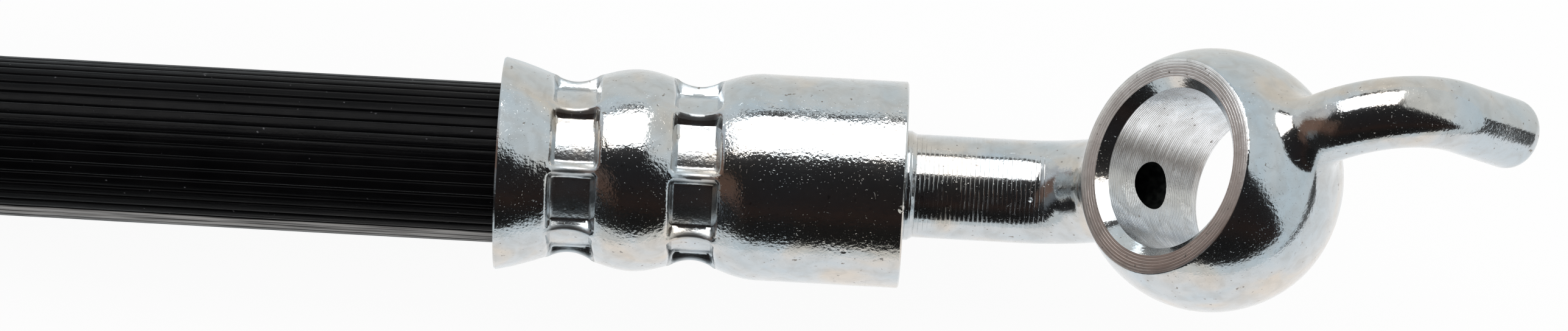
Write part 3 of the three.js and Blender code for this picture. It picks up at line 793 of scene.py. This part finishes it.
def forged_skin():
    """The forging as one even mesh, with both sealing faces and the bore machined."""
    bm = applied(rough_forging(), "REMESH", mode="VOXEL", voxel_size=SKIN_SPACING)
    for _ in range(3):
        bmesh.ops.smooth_vert(
            bm, verts=bm.verts, factor=0.5, use_axis_x=True, use_axis_y=True, use_axis_z=True,
        )
        places = drawn_to_skin(np.array([vert.co for vert in bm.verts]))
        for vert, place in zip(bm.verts, places.tolist()):
            vert.co = place
    rings = [machined_face(bm, side, chamfer) for side, chamfer in ((1, BORE_CHAMFER), (-1, FAR_CHAMFER))]
    bmesh.ops.bridge_loops(bm, edges=[*rings[0], *rings[1]])
    bmesh.ops.recalc_face_normals(bm, faces=bm.faces)
    return bm


def cut_with(bm, tool, operation):
    """The bmesh after a boolean with a tool, which is used up."""
    mesh = bpy.data.meshes.new("cutter")
    tool.to_mesh(mesh)
    tool.free()
    cutter = bpy.data.objects.new("cutter", mesh)
    in_scene.link(cutter)
    made = applied(bm, "BOOLEAN", operation=operation, solver="EXACT", object=cutter)
    bpy.data.objects.remove(cutter)
    bpy.data.meshes.remove(mesh)
    return made


def drilled(bm):
    """The forging with the cross hole drilled from the bore into the stem."""
    drill = bmesh.new()
    bmesh.ops.create_cone(
        drill, cap_ends=True, segments=48,
        radius1=CROSS_HOLE_RADIUS, radius2=CROSS_HOLE_RADIUS, depth=CROSS_HOLE_DEPTH,
    )
    turned = out.to_track_quat("Z", "Y").to_matrix().to_4x4()
    placed = Matrix.Translation(eye - out * CROSS_HOLE_DEPTH / 2) @ turned
    bmesh.ops.transform(drill, matrix=placed, verts=drill.verts)
    return cut_with(bm, drill, "DIFFERENCE")


def neck_collar():
    """The low ring that the turning tool leaves on the neck against the ferrule's end."""
    outline = [
        (0.0, NECK_RADIUS - 0.1),
        (0.0, NECK_RADIUS + COLLAR_HEIGHT * 0.9),
        (COLLAR_WIDTH * 0.2, NECK_RADIUS + COLLAR_HEIGHT),
        (COLLAR_WIDTH * 0.75, NECK_RADIUS + COLLAR_HEIGHT),
        (COLLAR_WIDTH, NECK_RADIUS + COLLAR_HEIGHT * 0.6),
        (COLLAR_WIDTH * 1.6, NECK_RADIUS - 0.05),
        (COLLAR_WIDTH * 1.6, NECK_RADIUS - 0.1),
    ]
    collar = spun(outline, TURNED_SIDES, closed=True)
    bmesh.ops.translate(collar, vec=mouth / MM + ahead * FERRULE_LENGTH, verts=collar.verts)
    return collar


def joined(parts):
    """One bmesh from several."""
    whole = bmesh.new()
    for part in parts:
        mesh = bpy.data.meshes.new("part")
        part.to_mesh(mesh)
        part.free()
        whole.from_mesh(mesh)
        bpy.data.meshes.remove(mesh)
    return whole


def turning_marks(centre, direction, pitch, depth, kind="BANDS", groove=0.3):
    """A maker of fine tool marks across a direction, or of rings round it, from a centre in metres."""
    turned = direction.to_track_quat("Z", "Y").to_matrix().to_4x4()
    placed = (Matrix.Translation(centre) @ turned).inverted()

    def marks(tree, below):
        mapping = tree.nodes.new("ShaderNodeMapping")
        mapping.inputs["Location"].default_value = placed.to_translation()
        mapping.inputs["Rotation"].default_value = placed.to_euler()
        tree.links.new(on_piece(tree), mapping.inputs["Vector"])
        wave = pattern(tree, "Wave", WAVE_LENGTH / pitch, 2.0, mapping.outputs["Vector"], distortion=0.6)
        wave.wave_type = kind
        wave.bands_direction = wave.rings_direction = "Z"
        wave.inputs["Detail Scale"].default_value = 2.0
        wear = ramp(tree, noise(tree, 700.0, 2.0), [(0.35, 0.35), (0.6, 1.0)])
        cut = ramp(tree, wave.outputs["Fac"], [(0.0, 0.0), (groove, 1.0)])
        return raised(tree, cut, depth, below, wear)

    return marks


def cross_hole_shade():
    """The drilled hole's wall, painted near black with low gloss as painted shade for the deep hole."""
    material, shader, tree = shader_tree("drilled_wall", {"Roughness": 0.6, "Specular IOR Level": 0.1})
    hole_shade_noise = noise(tree, 2400.0, 3.0)
    tree.links.new(ramp(tree, hole_shade_noise, HOLE_PAINTED_SHADE), shader.inputs["Base Color"])
    return material


def level_across(direction, span, drift):
    """A maker of 0 to 1 over a span across the eye, which drifts a little from one tool mark to the next."""

    def level(tree):
        source = on_piece(tree)
        depth = tree.nodes.new("ShaderNodeCombineXYZ")
        tree.links.new(dotted(tree, source, bore), depth.inputs["X"])
        marks = noise(tree, 0.7 / BORE_MARK_PITCH, 2.0, depth.outputs["Vector"])
        middle = 0.5 - (eye * MM).dot(direction) / (2 * span) - drift / 2
        shifted = worked(tree, "MULTIPLY_ADD", marks, drift, middle)
        return worked(tree, "ADD", dotted(tree, source, direction / (2 * span)), shifted)

    return level


fitting_zinc = zinc_finish("fitting_zinc", roughness=0.07, pebble_depth=0.000013)
neck_lines = turning_marks(mouth, ahead, NECK_MARK_PITCH, NECK_MARK_DEPTH, groove=0.2)
neck_zinc = zinc_finish(
    "turned_neck_zinc", roughness=0.09, pebble_depth=0.000008, lines=neck_lines, nicks=NICKS[2:],
)
bore_zinc = zinc_finish(
    "bored_wall_zinc",
    roughness=0.16,
    pebble_depth=0.000012,
    lines=turning_marks(eye * MM, bore, BORE_MARK_PITCH, BORE_MARK_DEPTH),
    # These shades are painted reflections, run over the place across the bore and wobbling with the tool
    # marks.
    shades=BORE_PAINTED_REFLECTIONS,
    level=level_across(bore_top, BORE_RADIUS * MM, drift=0.2),
)
face_zinc = zinc_finish(
    "sealing_face_zinc",
    roughness=0.38,
    pebble_depth=0.000014,
    lines=turning_marks(eye * MM, bore, FACE_MARK_PITCH, FACE_MARK_DEPTH, kind="RINGS"),
    # These shades are a painted reflection, run over the place across the face.
    shades=FACE_PAINTED_REFLECTION,
    level=level_across(bore_top, EYE_RADIUS * MM, drift=0.0),
)
fitting_finishes = [fitting_zinc, neck_zinc, bore_zinc, face_zinc, cross_hole_shade()]
forging = joined([drilled(forged_skin()), neck_collar()])
for face in forging.faces:
    offset = face.calc_center_median() - eye
    level = offset.dot(bore)
    radius = (offset - bore * level).length
    from_hole = (offset - out * offset.dot(out)).length
    if from_hole < CROSS_HOLE_RADIUS + 0.02 and radius > BORE_RADIUS + 0.05 and offset.dot(out) < 0.0:
        face.material_index = DRILLED
    elif radius < BORE_RADIUS + 0.02 and abs(level) < EYE_HALF_WIDTH:
        face.material_index = BORED
    elif abs(abs(level) - EYE_HALF_WIDTH - FACE_PROUD) < 0.01 and radius < EYE_RADIUS:
        face.material_index = FACED
    elif face.calc_center_median().x < stem_start.x + NECK_STRAIGHT + TURNED_PAST_BEND:
        face.material_index = TURNED
    else:
        face.material_index = PLATED
banjo = linked("forged_banjo", settled(forging, (0.0, 0.0, 0.0)), fitting_finishes)
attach(banjo, "root")
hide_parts("banjo_fitting")

# End fitting. A steel hexagon with a turned spigot that a bracket and its clip hold, and a threaded port with
# a flare seat for the brake pipe. It is plated as the banjo fitting is.
END_NECK = 2.5
HEX_FLAT = 7.0
HEX_LENGTH = 9.0
HEX_CHAMFER = math.radians(30.0)
SPIGOT_RADIUS = 6.4
BRACKET_LAND = 2.4
CLIP_GROOVE_RADIUS = 5.45
CLIP_GROOVE_WIDTH = 1.6
SPIGOT_END = 3.8
SPIGOT_EDGE = 0.4
CLIP_GROOVE_EDGE = 0.1
HEX_EDGE = 0.08
SUNK = 0.5  # how far the turned part reaches into the hexagon
PORT_RADIUS = 5.0
THREAD_PITCH = 1.0
THREAD_DEPTH = 0.55
THREAD_ROOT = 0.05  # how far the thread's foot lies in the port's wall
THREAD_START = 1.5  # from the port's floor
THREAD_TURNS = 9
THREAD_SIDES = 48
PORT_DEPTH = 12.5
SEAT_HEIGHT = 2.4
SEAT_FOOT_RADIUS = 3.7
SEAT_TOP_RADIUS = 1.45
PASSAGE_RADIUS = 1.1
PASSAGE_DEPTH = 2.0


def end_fitting():
    """The hexagon, the turned body with its port, and how far along the body's tip lies."""
    hex_start = FERRULE_LENGTH + END_NECK
    hex_end = hex_start + HEX_LENGTH
    groove_start = hex_end + BRACKET_LAND
    groove_end = groove_start + CLIP_GROOVE_WIDTH
    tip = groove_end + SPIGOT_END
    corner = HEX_FLAT / math.cos(math.pi / 6)
    slope = (corner - HEX_FLAT) * math.tan(HEX_CHAMFER)
    outline = [
        (hex_start, 0.0),
        (hex_start, HEX_FLAT - 0.1),
        (hex_start + slope, corner + 0.01),
        (hex_end - slope, corner + 0.01),
        (hex_end, HEX_FLAT - 0.1),
        (hex_end, 0.0),
    ]
    hexagon = bmesh.new()
    bmesh.ops.create_cone(
        hexagon, cap_ends=True, segments=6, radius1=corner, radius2=corner, depth=HEX_LENGTH + 0.4,
    )
    lying = Matrix.Translation((hex_start + HEX_LENGTH / 2, 0, 0)) @ Matrix.Rotation(math.pi / 2, 4, "Y")
    bmesh.ops.transform(hexagon, matrix=lying, verts=hexagon.verts)
    made = cut_with(hexagon, spun(outline, TURNED_SIDES), "INTERSECT")
    edges = [edge for edge in made.edges if edge.calc_face_angle(0.0) > math.radians(20.0)]
    bmesh.ops.bevel(
        made, geom=edges, offset=HEX_EDGE, affect="EDGES", segments=2, profile=0.5, material=-1,
        clamp_overlap=True,
    )
    floor_level = tip - PORT_DEPTH
    turned = [
        (FERRULE_LENGTH - 1.0, 0.0),
        (FERRULE_LENGTH - 1.0, NECK_RADIUS),
        (hex_start + SUNK, NECK_RADIUS),
        (hex_start + SUNK, SPIGOT_RADIUS - 0.5),
        (hex_end - SUNK, SPIGOT_RADIUS - 0.5),
        (hex_end - SUNK, SPIGOT_RADIUS),
        (groove_start - CLIP_GROOVE_EDGE, SPIGOT_RADIUS),
        (groove_start, SPIGOT_RADIUS - CLIP_GROOVE_EDGE),
        (groove_start, CLIP_GROOVE_RADIUS + CLIP_GROOVE_EDGE),
        (groove_start + CLIP_GROOVE_EDGE, CLIP_GROOVE_RADIUS),
        (groove_end - CLIP_GROOVE_EDGE, CLIP_GROOVE_RADIUS),
        (groove_end, CLIP_GROOVE_RADIUS + CLIP_GROOVE_EDGE),
        (groove_end, SPIGOT_RADIUS - SPIGOT_EDGE),
        (groove_end + SPIGOT_EDGE, SPIGOT_RADIUS),
        (tip - SPIGOT_EDGE, SPIGOT_RADIUS),
        (tip, SPIGOT_RADIUS - SPIGOT_EDGE),
        (tip, PORT_RADIUS + 0.2),
        (tip - 0.7, PORT_RADIUS - 0.05),
        (floor_level, PORT_RADIUS - 0.02),
        (floor_level, SEAT_FOOT_RADIUS),
        (floor_level + SEAT_HEIGHT, SEAT_TOP_RADIUS),
        (floor_level + SEAT_HEIGHT, PASSAGE_RADIUS),
        (floor_level - PASSAGE_DEPTH, PASSAGE_RADIUS),
        (floor_level - PASSAGE_DEPTH, 0.0),
    ]
    return made, spun(turned, TURNED_SIDES), tip


def port_thread(tip):
    """The port's inside thread: one tooth spun along a helix."""
    bm = bmesh.new()
    start = tip - PORT_DEPTH + THREAD_START
    root = PORT_RADIUS + THREAD_ROOT
    tooth = [(0.0, root), (THREAD_PITCH / 2, PORT_RADIUS - THREAD_DEPTH), (THREAD_PITCH, root)]
    verts = [bm.verts.new((start + along, 0.0, radius)) for along, radius in tooth]
    edges = [bm.edges.new(pair) for pair in zip(verts, [*verts[1:], verts[0]])]
    bmesh.ops.spin(
        bm, geom=[*verts, *edges], cent=(0, 0, 0), axis=(1, 0, 0), dvec=(THREAD_PITCH / THREAD_SIDES, 0, 0),
        angle=2 * math.pi * THREAD_TURNS, steps=THREAD_SIDES * THREAD_TURNS, use_merge=False,
    )
    bmesh.ops.remove_doubles(bm, verts=bm.verts, dist=0.001)
    fill_ends(bm)
    return bm


hexagon, turned_end, port_tip = end_fitting()
end_metal = settled(joined([hexagon, turned_end]), far_mouth)
end_piece = linked("female_end_fitting", end_metal, [fitting_zinc])
thread_piece = linked("port_thread", settled(port_thread(port_tip), far_mouth), [fitting_zinc])
for made in (end_piece, thread_piece):
    made.visible_glossy = False  # the far end isn't mirrored in the photographed metal
    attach(made, "root")
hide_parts("end_fitting")

# Studio. A white table, one large soft lamp above the top of the picture, and pale fill. Bright metal sees
# the lamp, a bright wall and a dark ceiling. It also sees the table end to the left and have a dark joint far
# to the right.
LAMP_DISTANCE = 0.9
LAMP_SIZE = (0.82, 0.72)
LAMP_TILT = math.radians(49.5)
LAMP_SHIFT = -0.21
LAMP_POWER = 6.0
TABLE_SIZE = 6.0
TABLE_WHITE = (0.92, 0.92, 0.92)
TABLE_GLOW = 0.93
FAR_TABLE = (0.78, 0.79, 0.77)
FAR_TABLE_SIDE = (0.0, 0.015)  # Y in metres where its shade starts and is full
TABLE_LEFT_END = (-0.045, -0.070)  # X where it starts to end and has ended
HOSE_LANE_SLOPE = 0.3  # how fast the opening along the hose widens to each side
HOSE_LANE_SIDE = (0.0, -0.003)
JOINT_SLANT = 0.8
JOINT_NEAR_SIDE = (0.132, 0.148)
JOINT_FAR_SIDE = (0.90, 0.70)
JOINT_TOP = (0.014, 0.004)
JOINT_SHADE = (0.03, 0.03, 0.03)
BACKDROP = (1.0, 1.0, 1.0)
FILL = (0.60, 0.60, 0.60)
WALL = (0.74, 0.79, 0.81)
# Each part of the room has a heading, and how far along it the part starts and is full.
LOW_LEFT = ((-1.0, 0.0, 0.0), 0.72, 0.82)
UNDER_WALL_TOP = ((0.0, 0.0, 1.0), 0.20, 0.17)
RIGHT_OF_LAMP = ((0.96, 0.0, -0.27), 0.0, 0.07)
PAST_CEILING = ((0.586, 0.692, -0.422), -0.02, 0.05)
LEFT = ((-0.87, 0.0, -0.5), -0.05, 0.06)
FAR_LEFT = ((-0.87, 0.0, -0.5), 0.22, 0.36)
CEILING_RUN = ((0.0, 1.0, 0.0), -1.0, 1.0, "LINEAR")
LEFT_RUN = ((1.05, 1.0, 0.0), -1.6, 0.4, "LINEAR")
CEILING_SHADES = [
    (0.10, (0.006, 0.006, 0.006)),
    (0.19, (0.019, 0.011, 0.009)),
    (0.26, (0.012, 0.009, 0.009)),
    (0.5, (0.010, 0.010, 0.011)),
]
LEFT_SHADES = [
    (0.24, (0.012, 0.012, 0.012)),
    (0.32, (0.105, 0.066, 0.052)),
    (0.46, (0.09, 0.062, 0.05)),
    (0.53, (0.012, 0.012, 0.012)),
]
FAR_LEFT_SHADES = [
    (0.13, (0.012, 0.012, 0.013)),
    (0.19, (0.16, 0.18, 0.20)),
    (0.25, (0.17, 0.18, 0.19)),
    (0.30, (0.19, 0.125, 0.10)),
    (0.48, (0.18, 0.125, 0.105)),
    (0.57, (0.58, 0.62, 0.66)),
]

table_mesh = bmesh.new()
bmesh.ops.create_grid(table_mesh, x_segments=1, y_segments=1, size=TABLE_SIZE / 2)
constants = {"Base Color": (*TABLE_WHITE, 1.0), "Roughness": 0.9, "Specular IOR Level": 0.1}
table_material, table_shader, tree = shader_tree("white_table", constants)


def spread_of(tree, value, start, end, kind="SMOOTHSTEP"):
    """0 before start, 1 after end and a blend between."""
    node = tree.nodes.new("ShaderNodeMapRange")
    node.interpolation_type = kind
    tree.links.new(value, node.inputs["Value"])
    node.inputs["From Min"].default_value = start
    node.inputs["From Max"].default_value = end
    return node.outputs["Result"]


def where_all(tree, *shares):
    """The product of shares, which is 1 where all of them are."""
    product = shares[0]
    for share in shares[1:]:
        product = worked(tree, "MULTIPLY", product, share)
    return product


def mixed(tree, share, first, second):
    """The first shader where share is 0 and the second where it is 1."""
    node = tree.nodes.new("ShaderNodeMixShader")
    for source, socket in zip((share, first, second), node.inputs):
        tree.links.new(source, socket)
    return node.outputs["Shader"]


rays = tree.nodes.new("ShaderNodeLightPath").outputs
table_place = tree.nodes.new("ShaderNodeSeparateXYZ")
tree.links.new(on_piece(tree), table_place.inputs[0])
table_x = table_place.outputs["X"]
table_y = table_place.outputs["Y"]
far_side = where_all(tree, spread_of(tree, table_y, *FAR_TABLE_SIDE), rays["Is Glossy Ray"])
towards_joint = worked(tree, "MULTIPLY_ADD", table_y, JOINT_SLANT, table_x)
joint = where_all(
    tree,
    spread_of(tree, towards_joint, *JOINT_NEAR_SIDE),
    spread_of(tree, towards_joint, *JOINT_FAR_SIDE),
    spread_of(tree, table_y, *JOINT_TOP),
    rays["Is Glossy Ray"],
)
glow = tree.nodes.new("ShaderNodeEmission")
glow.inputs["Strength"].default_value = 1.0
table_colour = blended(tree, far_side, BACKDROP, FAR_TABLE)
tree.links.new(blended(tree, joint, table_colour, JOINT_SHADE), glow.inputs["Color"])
shown_to = worked(tree, "MAXIMUM", rays["Is Camera Ray"], rays["Is Glossy Ray"])
glowing = worked(tree, "MAXIMUM", worked(tree, "MULTIPLY", shown_to, TABLE_GLOW), joint)
lit = mixed(tree, glowing, table_shader.outputs["BSDF"], glow.outputs["Emission"])
past_left = spread_of(tree, table_x, *TABLE_LEFT_END)
off_line = worked(tree, "ABSOLUTE", table_y)
off_line = worked(tree, "MULTIPLY_ADD", table_x, HOSE_LANE_SLOPE, off_line)
along_hose = spread_of(tree, off_line, *HOSE_LANE_SIDE)
gap = where_all(tree, worked(tree, "MAXIMUM", past_left, along_hose), rays["Is Glossy Ray"])
opening = tree.nodes.new("ShaderNodeBsdfTransparent").outputs["BSDF"]
ended = mixed(tree, gap, lit, opening)
tree.links.new(ended, tree.nodes["Material Output"].inputs["Surface"])
table = linked("table", table_mesh, [table_material])

lamp_data = bpy.data.lights.new("soft_lamp", "AREA")
lamp_data.shape = "RECTANGLE"
lamp_data.size, lamp_data.size_y = LAMP_SIZE
lamp_data.energy = LAMP_POWER
lamp = bpy.data.objects.new("soft_lamp", lamp_data)
lamp_heading = Vector((0.0, math.sin(LAMP_TILT), math.cos(LAMP_TILT)))
lamp.location = lamp_heading * LAMP_DISTANCE + Vector((LAMP_SHIFT, 0.0, 0.0))
lamp.rotation_euler = (-LAMP_TILT, 0.0, 0.0)
lamp.visible_camera = False
in_scene.link(lamp)

world = bpy.data.worlds.new("studio")
world.use_nodes = True
bpy.context.scene.world = world
sky = world.node_tree
backdrop = sky.nodes["Background"]
directions = sky.nodes.new("ShaderNodeTexCoord").outputs["Generated"]


def room(heading, start, end, kind="SMOOTHSTEP"):
    """The share of one part of the room in each direction of the world."""
    return spread_of(sky, dotted(sky, directions, heading), start, end, kind)


low_wall = where_all(sky, room(*UNDER_WALL_TOP), worked(sky, "SUBTRACT", 1.0, room(*LOW_LEFT)))
right_wall = where_all(sky, room(*RIGHT_OF_LAMP), room(*PAST_CEILING))
left_run = room(*LEFT_RUN)
overhead = ramp(sky, room(*CEILING_RUN), CEILING_SHADES)
overhead = blended(sky, room(*LEFT), overhead, ramp(sky, left_run, LEFT_SHADES))
overhead = blended(sky, room(*FAR_LEFT), overhead, ramp(sky, left_run, FAR_LEFT_SHADES))
seen_by_metal = blended(sky, worked(sky, "MAXIMUM", low_wall, right_wall), overhead, WALL)
light_path = sky.nodes.new("ShaderNodeLightPath").outputs
plain = blended(sky, light_path["Is Camera Ray"], FILL, BACKDROP)
surroundings = blended(sky, light_path["Is Glossy Ray"], plain, seen_by_metal)
sky.links.new(surroundings, backdrop.inputs["Color"])
backdrop.inputs["Strength"].default_value = 1.0

bpy.context.scene.view_settings.view_transform = "Standard"
